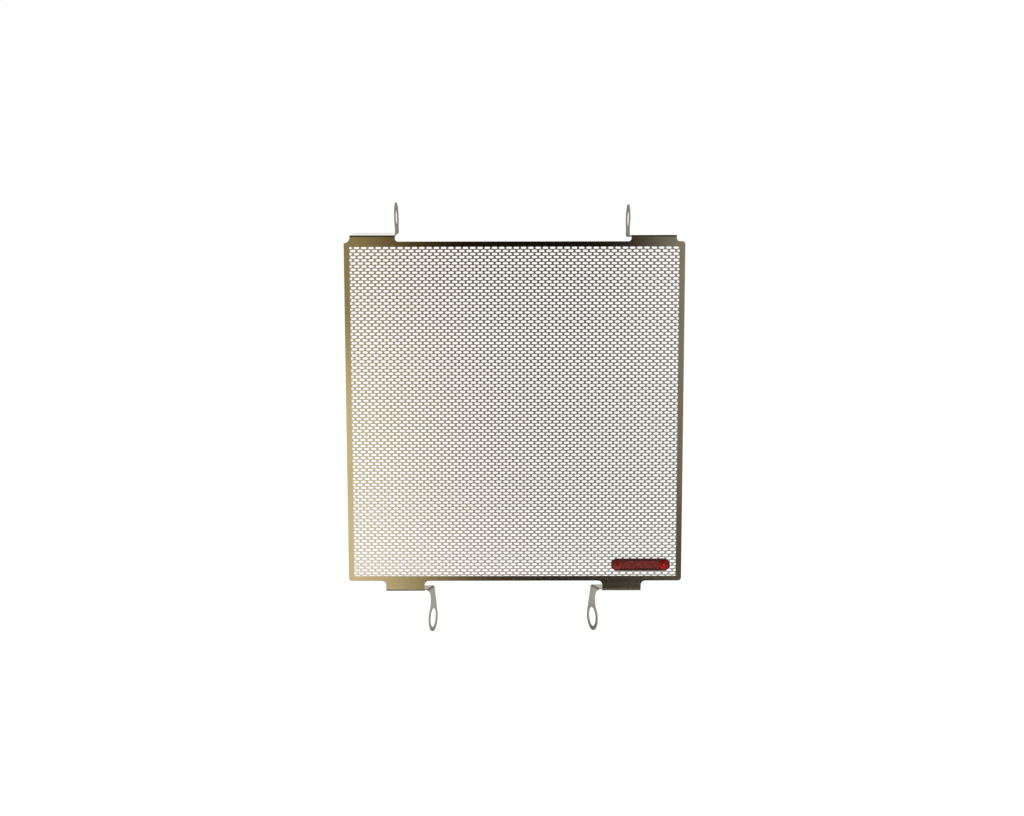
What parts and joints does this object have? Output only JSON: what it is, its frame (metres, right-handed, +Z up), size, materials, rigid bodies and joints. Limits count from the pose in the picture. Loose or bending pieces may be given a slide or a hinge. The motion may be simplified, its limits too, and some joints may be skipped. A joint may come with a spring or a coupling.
{
  "type": "motorcycle radiator guard",
  "caption": "Flat slotted sheet-metal guard that bolts in front of a motorcycle's radiator by folded tabs with eyes.",
  "frame": {"origin": "middle of the guard's overall box, ears and lugs included", "axes": "+Z up, from the lower lugs to the upper ears; +Y from the slotted front to the radiator behind it; +X to the right of someone facing the front"},
  "size_m": [0.33, 0.0365, 0.4298],
  "materials": {
    "steel": "satin, lightly brushed along the slots",
    "enamel": "gloss black and dark red enamel",
    "red_aluminium": "red anodised, satin",
    "brass": "plain"
  },
  "bodies": {
    "root": {"guard_sheet": "steel", "badge_plate": "enamel", "badge_rivets": "red_aluminium", "rivet_pins": "brass"}
  },
  "joints": []
}
